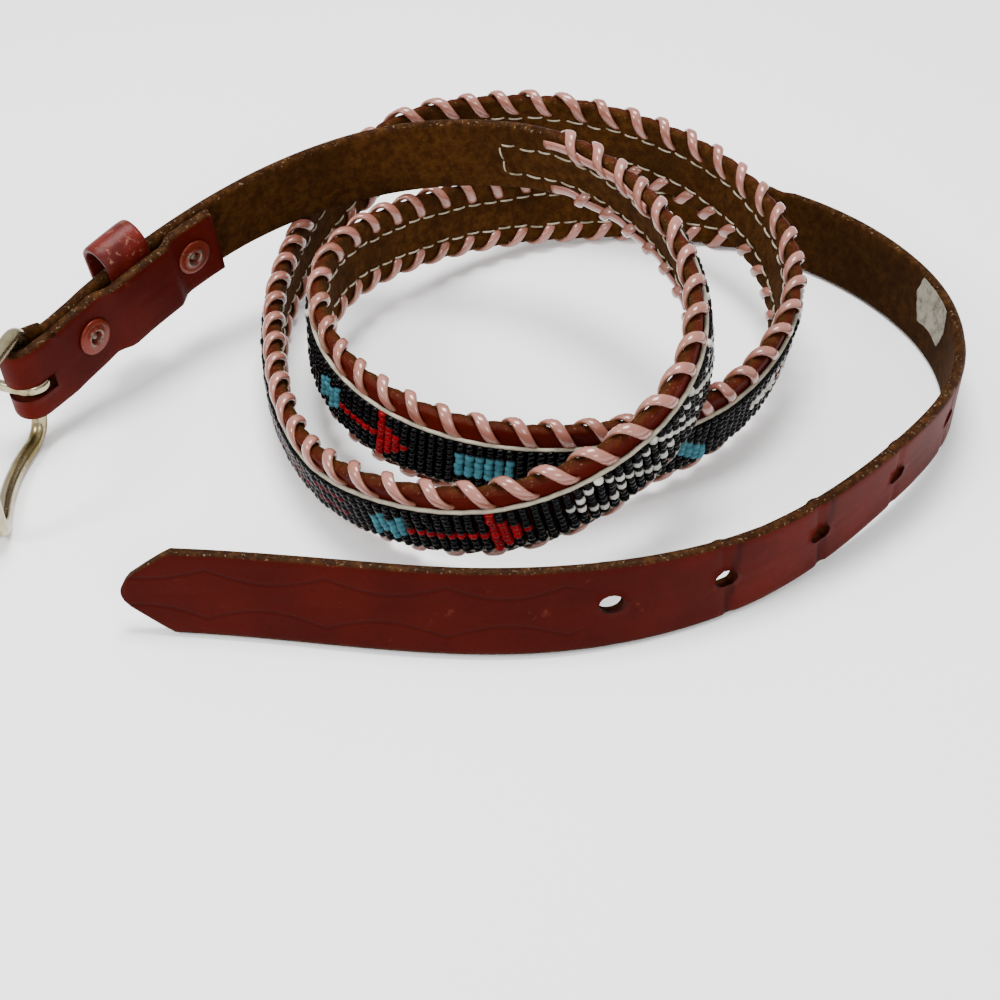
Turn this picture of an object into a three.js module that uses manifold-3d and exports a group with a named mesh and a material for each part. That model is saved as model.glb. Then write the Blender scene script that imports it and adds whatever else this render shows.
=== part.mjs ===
// Beaded leather belt, loosely coiled and standing on its lower edge.
// Millimetres, +Z up. The origin is at the middle of the bounding box, on the surface it rests on.
import * as THREE from 'three';
import { mergeVertices } from 'three/addons/utils/BufferGeometryUtils.js';
import Module from 'manifold-3d';

// Strap
const STRAP_WIDTH = 19;
const LEATHER_THICKNESS = 2.6;
const LEATHER_CHAMFER = 0.5;
const ROUTE_LENGTH = 1215;
const TIP_TAPER_LENGTH = 8;
const TIP_END_WIDTH = 6;

// Fold round the buckle bar
const BAR_STATION = 21.5;
const BAR_SIDE_OFFSET = 0.5;
const FOLD_BLEND_LENGTH = 13;
const TURNBACK_LENGTH = 57;
const LAYER_GAP = 0.3;

// Buckle frame and prong
const WIRE_DIAMETER = 3.6;
const BAR_CLEARANCE = 0.4;
const FRAME_CLEAR_HEIGHT = 25;
const FRAME_REACH = 38;
const FRAME_BOW = 3;
const FRAME_BAR_CORNER = 3.2;
const FRAME_FAR_CORNER = 7;
const FRAME_HEADING = 270;
const PRONG_HEIGHT = 2.6;
const PRONG_THICKNESS = 2;
const PRONG_CURL_CLEARANCE = 0.9;
const PRONG_CURL_TURN = 280;
const PRONG_HEADING = 160;
const PRONG_OVERREACH = 3;
const SLOT_CLEARANCE = 0.5;
const SLOT_MIDDLE_LIFT = 7.6;

// Keeper loop
const KEEPER_STATION = 55.6;
const KEEPER_BREADTH = 12;
const KEEPER_WALL = 1.5;
const KEEPER_CLEAR_HEIGHT = 25;
const KEEPER_CLEAR_DEPTH = 7.2;
const KEEPER_CORNER = 3.2;
const KEEPER_CLEARANCE = 0.45;
const KEEPER_MARGIN = 1.4;
const KEEPER_BLEND_LENGTH = 3;

// Snap rivets
const RIVET_STATIONS = [40, 71];
const RIVET_LIFT = 10;
const RIVET_POST_DIAMETER = 4;
const RIVET_RING_DIAMETER = 9;
const RIVET_RING_THICKNESS = 1.2;
const RIVET_DIMPLE_DIAMETER = 3.6;
const RIVET_DIMPLE_DEPTH = 0.7;
const RIVET_CAP_DIAMETER = 8;
const RIVET_CAP_THICKNESS = 1;
const RIVET_CLEARANCE = 0.3;

// Buckle holes, counted from the tip
const HOLE_COUNT = 5;
const HOLE_PITCH = 24.6;
const FIRST_HOLE_FROM_TIP = 96;
const HOLE_LENGTH = 5.4;
const HOLE_HEIGHT = 4;
const HOLE_MIDDLE_LIFT = 10;

// Beadwork
const BEADWORK_START = 158;
const BEADWORK_LENGTH = 764;
const BEADWORK_BOTTOM = 2.8;
const BEADWORK_WIDTH = 11.5;
const BEADWORK_THICKNESS = 1.7;

// Mesh fineness
const STATION_STEP = 5;
const FINE_STATION_STEP = 2.4;
const ROUND_SIDES = 20;
const WIRE_SIDES = 10;

// Where the lower edge's middle line starts, and which way it heads
const ROUTE_START = { x: 0, y: 0, heading: 53.8 };
const ROUTE_SECTIONS = 28;
const SOFTENING = 10;

// One row per section of the coil. at counts sections from the buckle. bend is how many degrees the
// strap turns in a section, minus being clockwise from above. lift is the lower edge's height as a
// share of the strap's width. lean is how many degrees the top edge tips outward.
const ROUTE = [
  { at: 0, bend: 7.8, lift: 0.46, lean: 0 },
  { at: 0.7, bend: -3.4, lift: 0.46, lean: 0 },
  { at: 1, bend: -8.2, lift: 0.69, lean: -2 },
  { at: 2, bend: -26.2, lift: 1.17, lean: -10 },
  { at: 3, bend: -43.6, lift: 1.5, lean: -5 },
  { at: 4, bend: -33.9, lift: 1.86, lean: -15 },
  { at: 5, bend: -39.3, lift: 1.66, lean: -15 },
  { at: 6, bend: -54.9, lift: 1.12, lean: 1 },
  { at: 7, bend: -68.5, lift: 0.44, lean: 8 },
  { at: 8, bend: -31.2, lift: 0.05, lean: 16 },
  { at: 9, bend: -19.6, lift: 0.01, lean: -1 },
  { at: 10, bend: -40.6, lift: 0.16, lean: -6 },
  { at: 11, bend: -53, lift: 1.01, lean: -3 },
  { at: 12, bend: -27.4, lift: 1.21, lean: -11 },
  { at: 13, bend: -45.3, lift: 0.9, lean: 3 },
  { at: 14, bend: -45.1, lift: 0.52, lean: 11 },
  { at: 15, bend: -33.5, lift: 0.22, lean: 8 },
  { at: 16, bend: -48.9, lift: 0.29, lean: -3 },
  { at: 17, bend: -55, lift: 0.42, lean: -6 },
  { at: 18, bend: -51.6, lift: 0.69, lean: 1 },
  { at: 19, bend: -22.5, lift: 0.4, lean: 4 },
  { at: 20, bend: -33, lift: 0.07, lean: 11 },
  { at: 21, bend: -36.7, lift: 0.02, lean: 14 },
  { at: 22, bend: -32.2, lift: 0.02, lean: 6 },
  { at: 23, bend: -52.9, lift: 0.01, lean: -2 },
  { at: 24, bend: -12.2, lift: 0.19, lean: 4 },
  { at: 25, bend: -20.7, lift: 0.01, lean: -2 },
  { at: 26, bend: -27.1, lift: 0.03, lean: -16 },
  { at: 27, bend: -3.9, lift: 0.03, lean: -17 },
  { at: 28, bend: 15.2, lift: 0.02, lean: -13 },
];

const wasm = await Module();
wasm.setup();

const rad = THREE.MathUtils.degToRad;
const SECTION_LENGTH = ROUTE_LENGTH / ROUTE_SECTIONS;
const HALF_LEATHER = LEATHER_THICKNESS / 2;
const WIRE_RADIUS = WIRE_DIAMETER / 2;
const FOLD_RADIUS = WIRE_RADIUS + BAR_CLEARANCE + HALF_LEATHER;
const LAYER_SPACING = LEATHER_THICKNESS + LAYER_GAP;
const KEEPER_SPACING = LEATHER_THICKNESS + KEEPER_WALL + 2 * KEEPER_CLEARANCE;

// Route: place and axes of the strap at any distance along it

function tableValue(column, station) {
  const at = THREE.MathUtils.clamp(station / SECTION_LENGTH, 0, ROUTE_SECTIONS);
  const next = ROUTE.findIndex((row) => row.at > at);
  if (next < 0) return ROUTE[ROUTE.length - 1][column];
  const low = ROUTE[next - 1];
  const high = ROUTE[next];
  return THREE.MathUtils.mapLinear(at, low.at, high.at, low[column], high[column]);
}

function softValue(column, station) {
  const sides = tableValue(column, station - SOFTENING) + tableValue(column, station + SOFTENING);
  return tableValue(column, station) / 2 + sides / 4;
}

const ROUTE_STEP = 1;
const routePoints = [];

function layOutRoute() {
  let { x, y } = ROUTE_START;
  let heading = rad(ROUTE_START.heading);
  for (let s = 0; s <= ROUTE_LENGTH + ROUTE_STEP; s += ROUTE_STEP) {
    routePoints.push({ x, y, heading });
    const bend = rad(tableValue('bend', s + ROUTE_STEP / 2)) / SECTION_LENGTH;
    const middle = heading + (bend * ROUTE_STEP) / 2;
    x += Math.cos(middle) * ROUTE_STEP;
    y += Math.sin(middle) * ROUTE_STEP;
    heading += bend * ROUTE_STEP;
  }
}

layOutRoute();

// along runs toward the tip, out points to the grain side, up lies in the strap toward its top edge.
function frameAt(station) {
  const index = Math.floor(THREE.MathUtils.clamp(station / ROUTE_STEP, 0, routePoints.length - 2));
  const share = station / ROUTE_STEP - index;
  const low = routePoints[index];
  const high = routePoints[index + 1];
  const heading = THREE.MathUtils.lerp(low.heading, high.heading, share);
  const lift = (s) => softValue('lift', s) * STRAP_WIDTH;
  const slope = (lift(station + ROUTE_STEP) - lift(station - ROUTE_STEP)) / (2 * ROUTE_STEP);
  const along = new THREE.Vector3(Math.cos(heading), Math.sin(heading), slope).normalize();
  const side = new THREE.Vector3(-Math.sin(heading), Math.cos(heading), 0);
  const lean = rad(softValue('lean', station));
  const up = new THREE.Vector3(0, 0, Math.cos(lean)).addScaledVector(side, Math.sin(lean));
  up.addScaledVector(along, -up.dot(along)).normalize();
  const out = new THREE.Vector3().crossVectors(up, along);
  const x = THREE.MathUtils.lerp(low.x, high.x, share);
  const y = THREE.MathUtils.lerp(low.y, high.y, share);
  return { origin: new THREE.Vector3(x, y, lift(station)), along, up, out };
}

function pointAt(frame, lift, offset) {
  return frame.origin.clone().addScaledVector(frame.up, lift).addScaledVector(frame.out, offset);
}

function stationsBetween(start, end, step) {
  const count = Math.ceil(Math.abs(end - start) / step);
  return Array.from({ length: count + 1 }, (_, i) => THREE.MathUtils.lerp(start, end, i / count));
}

// Layers that lie on each other bend at the same stations, so their gap stays even.
function sharedStations(start, end) {
  const stations = [start];
  const first = Math.floor(start / STATION_STEP) + 1;
  for (let k = first; k * STATION_STEP < end - STATION_STEP / 4; k += 1) stations.push(k * STATION_STEP);
  return [...stations, end];
}

// Solids

function closedSolid(positions, indices) {
  const geometry = new THREE.BufferGeometry();
  geometry.setAttribute('position', new THREE.Float32BufferAttribute(positions, 3));
  geometry.setIndex(indices);
  return geometry;
}

// Joins rings of equally many points into one closed body, either with flat ends or end to end.
function loft(rings, isLoop = false) {
  const sides = rings[0].length;
  const positions = rings.flat().flatMap((p) => [p.x, p.y, p.z]);
  const indices = [];
  const spans = isLoop ? rings.length : rings.length - 1;
  for (let i = 0; i < spans; i += 1) {
    const here = i * sides;
    const next = ((i + 1) % rings.length) * sides;
    for (let j = 0; j < sides; j += 1) {
      const k = (j + 1) % sides;
      indices.push(here + j, here + k, next + k, here + j, next + k, next + j);
    }
  }
  if (!isLoop) {
    const last = (rings.length - 1) * sides;
    for (let j = 1; j < sides - 1; j += 1) {
      indices.push(0, j + 1, j, last, last + j, last + j + 1);
    }
  }
  return outward(closedSolid(positions, indices));
}

function signedVolume(geometry) {
  const p = geometry.attributes.position;
  const index = geometry.index.array;
  const [a, b, c] = [new THREE.Vector3(), new THREE.Vector3(), new THREE.Vector3()];
  let volume = 0;
  for (let i = 0; i < index.length; i += 3) {
    a.fromBufferAttribute(p, index[i]);
    b.fromBufferAttribute(p, index[i + 1]);
    c.fromBufferAttribute(p, index[i + 2]);
    volume += a.dot(b.cross(c)) / 6;
  }
  return volume;
}

function outward(geometry) {
  if (signedVolume(geometry) > 0) return geometry;
  const index = Array.from(geometry.index.array);
  for (let i = 0; i < index.length; i += 3) {
    [index[i + 1], index[i + 2]] = [index[i + 2], index[i + 1]];
  }
  geometry.setIndex(index);
  return geometry;
}

function merged(geometry) {
  const bare = geometry.clone();
  bare.deleteAttribute('normal');
  bare.deleteAttribute('uv');
  return mergeVertices(bare, 1e-4);
}

function toManifold(geometry) {
  const bare = merged(geometry);
  const vertProperties = Float32Array.from(bare.attributes.position.array);
  const triVerts = Uint32Array.from(bare.index.array);
  return new wasm.Manifold(new wasm.Mesh({ numProp: 3, vertProperties, triVerts }));
}

function cut(geometry, cutters) {
  let solid = toManifold(geometry);
  for (const cutter of cutters) solid = solid.subtract(toManifold(cutter));
  const mesh = solid.getMesh();
  return closedSolid(Array.from(mesh.vertProperties), Array.from(mesh.triVerts));
}

// A leather or bead section with chamfered corners: lift up the strap, offset across it.
function stripRing(place, bottom, top, inner, outer, chamfer) {
  const corners = [
    [bottom + chamfer, inner], [bottom, inner + chamfer], [bottom, outer - chamfer],
    [bottom + chamfer, outer], [top - chamfer, outer], [top, outer - chamfer],
    [top, inner + chamfer], [top - chamfer, inner],
  ];
  return corners.map(([lift, offset]) => pointAt(place, lift, offset));
}

// Strap: from its turned-back end, round the bar, along the coil to the tip

const TURNBACK_END = BAR_STATION + TURNBACK_LENGTH;

function foldShare(station) {
  return 1 - THREE.MathUtils.smoothstep(station, BAR_STATION, BAR_STATION + FOLD_BLEND_LENGTH);
}

function outerLayerOffset(station) {
  return (BAR_SIDE_OFFSET + FOLD_RADIUS) * foldShare(station);
}

function turnbackOffset(station) {
  const half = KEEPER_BREADTH / 2;
  const away = Math.abs(station - KEEPER_STATION) - half - KEEPER_MARGIN;
  const keeperShare = 1 - THREE.MathUtils.smoothstep(away, 0, KEEPER_BLEND_LENGTH);
  const spacing = THREE.MathUtils.lerp(LAYER_SPACING, KEEPER_SPACING, keeperShare);
  return THREE.MathUtils.lerp(-spacing, BAR_SIDE_OFFSET - FOLD_RADIUS, foldShare(station));
}

function shifted(frame, offset, out = frame.out) {
  return { ...frame, origin: pointAt(frame, 0, offset), out };
}

function turnbackPlaces() {
  return stationsBetween(TURNBACK_END, BAR_STATION, FINE_STATION_STEP).map((s) => {
    const frame = frameAt(s);
    return shifted(frame, turnbackOffset(s), frame.out.clone().negate());
  });
}

function foldPlaces() {
  const frame = frameAt(BAR_STATION);
  const centre = pointAt(frame, 0, BAR_SIDE_OFFSET);
  return [150, 120, 90, 60, 30].map((angle) => {
    const out = frame.out.clone().multiplyScalar(Math.cos(rad(angle)));
    out.addScaledVector(frame.along, -Math.sin(rad(angle)));
    return { ...frame, out, origin: centre.clone().addScaledVector(out, FOLD_RADIUS) };
  });
}

function outerPlaces() {
  const taperStart = ROUTE_LENGTH - TIP_TAPER_LENGTH;
  const stations = [
    ...stationsBetween(BAR_STATION, TURNBACK_END, FINE_STATION_STEP),
    ...sharedStations(TURNBACK_END, taperStart).slice(1),
  ];
  return stations.map((s) => shifted(frameAt(s), outerLayerOffset(s)));
}

function holeCutter(frame, lift, length, height) {
  const cutter = new THREE.CylinderGeometry(0.5, 0.5, 6 * LEATHER_THICKNESS, ROUND_SIDES);
  cutter.scale(length, 1, height);
  const basis = new THREE.Matrix4().makeBasis(frame.along, frame.out, frame.up);
  cutter.applyMatrix4(basis.setPosition(pointAt(frame, lift, 0)));
  return cutter;
}

function buckleHoles() {
  return Array.from({ length: HOLE_COUNT }, (_, i) => {
    const station = ROUTE_LENGTH - FIRST_HOLE_FROM_TIP - i * HOLE_PITCH;
    return holeCutter(frameAt(station), HOLE_MIDDLE_LIFT, HOLE_LENGTH, HOLE_HEIGHT);
  });
}

function rivetHoles() {
  const width = RIVET_POST_DIAMETER + 2 * RIVET_CLEARANCE;
  return RIVET_STATIONS.map((s) => holeCutter(frameAt(s), RIVET_LIFT, width, width));
}

const barFrame = frameAt(BAR_STATION);
const barFoot = pointAt(barFrame, 0, BAR_SIDE_OFFSET);
const prongMiddle = barFoot.z + SLOT_MIDDLE_LIFT;
const CURL_RADIUS = WIRE_RADIUS + PRONG_CURL_CLEARANCE + PRONG_THICKNESS / 2;

// The slot runs round the whole fold, as far as the prong's curl reaches, with room for it to turn.
function prongSlot() {
  const reach = CURL_RADIUS + PRONG_THICKNESS / 2 + SLOT_CLEARANCE;
  const behind = FOLD_RADIUS + LEATHER_THICKNESS;
  const across = 2 * (FOLD_RADIUS + LEATHER_THICKNESS);
  const height = PRONG_HEIGHT + 2 * SLOT_CLEARANCE;
  const cutter = new THREE.BoxGeometry(reach + behind, across, height);
  cutter.translate((reach - behind) / 2, 0, 0);
  const angle = Math.atan2(barFrame.along.y, barFrame.along.x);
  cutter.rotateZ(angle);
  cutter.translate(barFoot.x, barFoot.y, prongMiddle);
  return cutter;
}

function strapGeometry() {
  const places = [...turnbackPlaces(), ...foldPlaces(), ...outerPlaces()];
  const rings = places.map((place) => (
    stripRing(place, 0, STRAP_WIDTH, -HALF_LEATHER, HALF_LEATHER, LEATHER_CHAMFER)
  ));
  const middle = STRAP_WIDTH / 2;
  const half = TIP_END_WIDTH / 2;
  const tip = frameAt(ROUTE_LENGTH);
  rings.push(stripRing(tip, middle - half, middle + half, -HALF_LEATHER, HALF_LEATHER, LEATHER_CHAMFER));
  return cut(loft(rings), [prongSlot(), ...rivetHoles(), ...buckleHoles()]);
}

// Beadwork: one woven strip on the grain side, between the two laced borders

function beadworkGeometry() {
  const inner = HALF_LEATHER + LAYER_GAP;
  const outer = inner + BEADWORK_THICKNESS;
  const top = BEADWORK_BOTTOM + BEADWORK_WIDTH;
  const stations = sharedStations(BEADWORK_START, BEADWORK_START + BEADWORK_LENGTH);
  return loft(stations.map((s) => (
    stripRing(frameAt(s), BEADWORK_BOTTOM, top, inner, outer, LEATHER_CHAMFER)
  )));
}

// Buckle frame: round wire bent into a rounded rectangle that bows to the prong's side

function headingVector(degrees) {
  return new THREE.Vector3(Math.cos(rad(degrees)), Math.sin(rad(degrees)), 0);
}

// Corner arcs of the frame's outline, as reach from the bar and height.
function frameOutline() {
  const low = WIRE_RADIUS;
  const high = low + WIRE_DIAMETER + FRAME_CLEAR_HEIGHT;
  const corners = [
    { reach: FRAME_BAR_CORNER, height: low + FRAME_BAR_CORNER, radius: FRAME_BAR_CORNER, start: 180 },
    { reach: FRAME_REACH - FRAME_FAR_CORNER, height: low + FRAME_FAR_CORNER, radius: FRAME_FAR_CORNER, start: 270 },
    { reach: FRAME_REACH - FRAME_FAR_CORNER, height: high - FRAME_FAR_CORNER, radius: FRAME_FAR_CORNER, start: 0 },
    { reach: FRAME_BAR_CORNER, height: high - FRAME_BAR_CORNER, radius: FRAME_BAR_CORNER, start: 90 },
  ];
  const outline = corners.flatMap(({ reach, height, radius, start }) => (
    [0, 22.5, 45, 67.5, 90].map((turn) => ({
      reach: reach + radius * Math.cos(rad(start + turn)),
      height: height + radius * Math.sin(rad(start + turn)),
    }))
  ));
  return outline.flatMap((from, i) => {
    const to = outline[(i + 1) % outline.length];
    const span = Math.hypot(to.reach - from.reach, to.height - from.height);
    const pieces = Math.max(1, Math.round(span / STATION_STEP));
    return Array.from({ length: pieces }, (_, k) => ({
      reach: THREE.MathUtils.lerp(from.reach, to.reach, k / pieces),
      height: THREE.MathUtils.lerp(from.height, to.height, k / pieces),
    }));
  });
}

function buckleFrameGeometry() {
  const arm = headingVector(FRAME_HEADING);
  const bowSide = headingVector(FRAME_HEADING - 90);
  const centres = frameOutline().map(({ reach, height }) => {
    const bow = FRAME_BOW * Math.sin((Math.PI * reach) / FRAME_REACH);
    const centre = new THREE.Vector3(barFoot.x, barFoot.y, height);
    return centre.addScaledVector(arm, reach).addScaledVector(bowSide, bow);
  });
  const rings = centres.map((centre, i) => {
    const before = centres[(i + centres.length - 1) % centres.length];
    const after = centres[(i + 1) % centres.length];
    const tangent = new THREE.Vector3().subVectors(after, before).normalize();
    const first = bowSide.clone().addScaledVector(tangent, -bowSide.dot(tangent)).normalize();
    const second = new THREE.Vector3().crossVectors(tangent, first);
    return Array.from({ length: WIRE_SIDES }, (_, j) => {
      const angle = (2 * Math.PI * j) / WIRE_SIDES;
      const point = centre.clone().addScaledVector(first, WIRE_RADIUS * Math.cos(angle));
      return point.addScaledVector(second, WIRE_RADIUS * Math.sin(angle));
    });
  });
  return loft(rings, true);
}

// Prong: a straight tongue that ends in an open curl round the bar

function buckleProngGeometry() {
  const tongue = headingVector(PRONG_HEADING);
  const length = FRAME_REACH + PRONG_OVERREACH;
  const halfHeight = PRONG_HEIGHT / 2;
  const halfThickness = PRONG_THICKNESS / 2;
  const root = PRONG_HEADING + 90;
  const axis = new THREE.Vector3(barFoot.x, barFoot.y, prongMiddle);
  const places = stationsBetween(length, 0, STATION_STEP).map((t) => ({
    origin: axis.clone().addScaledVector(headingVector(root), CURL_RADIUS).addScaledVector(tongue, t),
    out: headingVector(root),
  }));
  for (const turn of stationsBetween(0, PRONG_CURL_TURN, ROUND_SIDES).slice(1)) {
    const out = headingVector(root + turn);
    places.push({ origin: axis.clone().addScaledVector(out, CURL_RADIUS), out });
  }
  const up = new THREE.Vector3(0, 0, 1);
  return loft(places.map((place) => stripRing(
    { ...place, up }, -halfHeight, halfHeight, -halfThickness, halfThickness, LEATHER_CHAMFER,
  )));
}

// Keeper: a leather loop round the outer layer, with one wall between the layers

function roundedRectangle(path, left, right, bottom, top, radius) {
  path.moveTo(left + radius, bottom);
  path.lineTo(right - radius, bottom);
  path.absarc(right - radius, bottom + radius, radius, -Math.PI / 2, 0, false);
  path.lineTo(right, top - radius);
  path.absarc(right - radius, top - radius, radius, 0, Math.PI / 2, false);
  path.lineTo(left + radius, top);
  path.absarc(left + radius, top - radius, radius, Math.PI / 2, Math.PI, false);
  path.lineTo(left, bottom + radius);
  path.absarc(left + radius, bottom + radius, radius, Math.PI, 1.5 * Math.PI, false);
  return path;
}

function keeperGeometry() {
  const left = -HALF_LEATHER - KEEPER_CLEARANCE;
  const right = left + KEEPER_CLEAR_DEPTH;
  const bottom = -KEEPER_CLEARANCE - KEEPER_CORNER / 5;
  const top = bottom + KEEPER_CLEAR_HEIGHT;
  const wall = KEEPER_WALL;
  const inside = KEEPER_CORNER - wall;
  const outline = roundedRectangle(
    new THREE.Shape(), left - wall, right + wall, bottom - wall, top + wall, KEEPER_CORNER,
  );
  outline.holes.push(roundedRectangle(new THREE.Path(), left, right, bottom, top, inside));
  const options = { depth: KEEPER_BREADTH, bevelEnabled: false, curveSegments: 4 };
  const loop = new THREE.ExtrudeGeometry(outline, options);
  loop.translate(0, 0, -KEEPER_BREADTH / 2);
  const frame = frameAt(KEEPER_STATION);
  const basis = new THREE.Matrix4().makeBasis(frame.out, frame.up, frame.along);
  loop.applyMatrix4(basis.setPosition(frame.origin));
  return merged(loop);
}

// Snap rivet: ring head on the turned-back end, post through both layers, low cap on the grain side

function snapRivetGeometry(station) {
  const seat = turnbackOffset(station) - HALF_LEATHER - RIVET_CLEARANCE;
  const face = seat - RIVET_RING_THICKNESS;
  const capSeat = HALF_LEATHER + RIVET_CLEARANCE;
  const ring = RIVET_RING_DIAMETER / 2;
  const dimple = RIVET_DIMPLE_DIAMETER / 2;
  const post = RIVET_POST_DIAMETER / 2;
  const cap = RIVET_CAP_DIAMETER / 2;
  const profile = [
    [0, face + RIVET_DIMPLE_DEPTH],
    [dimple * 0.7, face + RIVET_DIMPLE_DEPTH],
    [dimple, face],
    [ring * 0.85, face],
    [ring, face + RIVET_RING_THICKNESS * 0.6],
    [ring, seat],
    [post, seat],
    [post, capSeat],
    [cap, capSeat],
    [cap, capSeat + RIVET_CAP_THICKNESS * 0.4],
    [cap * 0.7, capSeat + RIVET_CAP_THICKNESS * 0.85],
    [0, capSeat + RIVET_CAP_THICKNESS],
  ];
  const turned = new THREE.LatheGeometry(profile.map(([r, h]) => new THREE.Vector2(r, h)), ROUND_SIDES);
  const frame = frameAt(station);
  const basis = new THREE.Matrix4().makeBasis(frame.along, frame.out, frame.up);
  turned.applyMatrix4(basis.setPosition(pointAt(frame, RIVET_LIFT, 0)));
  return outward(merged(turned));
}

// Materials and assembly

function material(color, roughness, metalness) {
  return new THREE.MeshStandardMaterial({ color, roughness, metalness });
}

function named(name, geometry, look) {
  const mesh = new THREE.Mesh(geometry, look);
  mesh.name = name;
  return mesh;
}

const belt = new THREE.Group();
belt.add(named('strap', strapGeometry(), material(0x5a1f17, 0.55, 0)));
belt.add(named('beadwork_band', beadworkGeometry(), material(0x111114, 0.3, 0)));
belt.add(named('buckle_frame', buckleFrameGeometry(), material(0xb9ad7e, 0.3, 1)));
belt.add(named('buckle_prong', buckleProngGeometry(), material(0xb9ad7e, 0.3, 1)));
belt.add(named('keeper_loop', keeperGeometry(), material(0x6b241a, 0.5, 0)));
RIVET_STATIONS.forEach((station, i) => {
  belt.add(named(`snap_rivet_${i + 1}`, snapRivetGeometry(station), material(0xb4452e, 0.4, 0.3)));
});

const box = new THREE.Box3().setFromObject(belt);
const middle = box.getCenter(new THREE.Vector3());
belt.position.set(-middle.x, -middle.y, -box.min.z);

export default belt;
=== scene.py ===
import bpy
import numpy as np
from math import radians
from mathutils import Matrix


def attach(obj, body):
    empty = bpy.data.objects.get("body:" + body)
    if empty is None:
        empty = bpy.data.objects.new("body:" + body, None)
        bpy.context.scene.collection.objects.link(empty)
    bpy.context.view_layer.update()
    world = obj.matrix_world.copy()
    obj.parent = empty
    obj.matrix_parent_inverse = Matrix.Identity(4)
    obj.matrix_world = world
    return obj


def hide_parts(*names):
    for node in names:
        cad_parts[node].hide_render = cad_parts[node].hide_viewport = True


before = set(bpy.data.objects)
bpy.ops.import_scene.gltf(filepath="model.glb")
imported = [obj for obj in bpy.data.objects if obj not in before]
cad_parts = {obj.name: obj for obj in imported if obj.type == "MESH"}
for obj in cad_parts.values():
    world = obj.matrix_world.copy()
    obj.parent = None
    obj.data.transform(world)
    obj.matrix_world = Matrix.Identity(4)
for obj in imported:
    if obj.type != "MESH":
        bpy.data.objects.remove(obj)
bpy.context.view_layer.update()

# Lengths are in millimetres: s along the strap, v up from its lower edge, w out of its grain side.

STRAP_WIDTH = 19.0
STRAP_MIDDLE = STRAP_WIDTH / 2
HALF_LEATHER = 1.3
EDGE_ROUND = 1.0
ROUTE_LENGTH = 1215.0
TIP_TAPER = 8
SECTION = ROUTE_LENGTH / 28
SOFTENING = 10.0
MODEL_SHIFT = np.array([-99.0715, -31.2120, -0.0845])
START_HEADING = 53.8

BAR_STATION = 21.5
BAR_OFFSET = 0.5
FOLD_RADIUS = 3.5
FOLD_BLEND = 13.0
TURNBACK_END = 78.5
LAYER_SPACING = 2.9
KEEPER_SPACING = 5.0
KEEPER_STATION = 55.6
KEEPER_BREADTH = 12.0
KEEPER_CLEARANCE = 1.4
KEEPER_BLEND = 4.5

BEAD_START = 158.0
BEAD_END = 922.0
BEAD_PITCH = 2.1
BEAD_ROW = 1.4
BEAD_TOP = 14.1
BEAD_ROWS = 8

LACE_START = 172.0
LACE_END = 924.0
LACE_PITCH = 8.19

HOLES = [1119.0, 1094.4, 1069.8, 1045.2, 1020.6]
RIVETS = [40.0, 71.0]

# Route: section number, bend in degrees a section, lift in strap widths, lean in degrees.
ROUTE = np.array([
    [0, 7.8, 0.46, 0], [0.7, -3.4, 0.46, 0], [1, -8.2, 0.69, -2], [2, -26.2, 1.17, -10],
    [3, -43.6, 1.5, -5], [4, -33.9, 1.86, -15], [5, -39.3, 1.66, -15], [6, -54.9, 1.12, 1],
    [7, -68.5, 0.44, 8], [8, -31.2, 0.05, 16], [9, -19.6, 0.01, -1], [10, -40.6, 0.16, -6],
    [11, -53, 1.01, -3], [12, -27.4, 1.21, -11], [13, -45.3, 0.9, 3], [14, -45.1, 0.52, 11],
    [15, -33.5, 0.22, 8], [16, -48.9, 0.29, -3], [17, -55, 0.42, -6], [18, -51.6, 0.69, 1],
    [19, -22.5, 0.4, 4], [20, -33, 0.07, 11], [21, -36.7, 0.02, 14], [22, -32.2, 0.02, 6],
    [23, -52.9, 0.01, -2], [24, -12.2, 0.19, 4], [25, -20.7, 0.01, -2], [26, -27.1, 0.03, -16],
    [27, -3.9, 0.03, -17], [28, 15.2, 0.02, -13],
])


# Shapes along the strap

def smooth(x):
    """3x^2 - 2x^3 of x held between 0 and 1."""
    x = np.clip(x, 0, 1)
    return x * x * (3 - 2 * x)


def unit(vectors):
    """Each vector over its own length."""
    return vectors / np.linalg.norm(vectors, axis=-1, keepdims=True)


def route_value(column, s):
    """A column of the route at s, straight between its rows."""
    return np.interp(np.asarray(s) / SECTION, ROUTE[:, 0], ROUTE[:, column])


def soft_value(column, s):
    """Half the value at s and a quarter of it on each side."""
    s = np.asarray(s, float)
    sides = route_value(column, s - SOFTENING) + route_value(column, s + SOFTENING)
    return route_value(column, s) / 2 + sides / 4


def lay_out_route():
    """Place and heading each millimetre: heading is the running sum of bend, place that of the steps."""
    steps = np.arange(0, ROUTE_LENGTH + 2)
    bend = np.radians(route_value(1, steps + 0.5)) / SECTION
    heading = np.radians(START_HEADING) + np.concatenate([[0], np.cumsum(bend[:-1])])
    middle = heading + bend / 2
    x = np.concatenate([[0], np.cumsum(np.cos(middle[:-1]))])
    y = np.concatenate([[0], np.cumsum(np.sin(middle[:-1]))])
    return steps, x, y, heading


ROUTE_GRID = lay_out_route()


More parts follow.
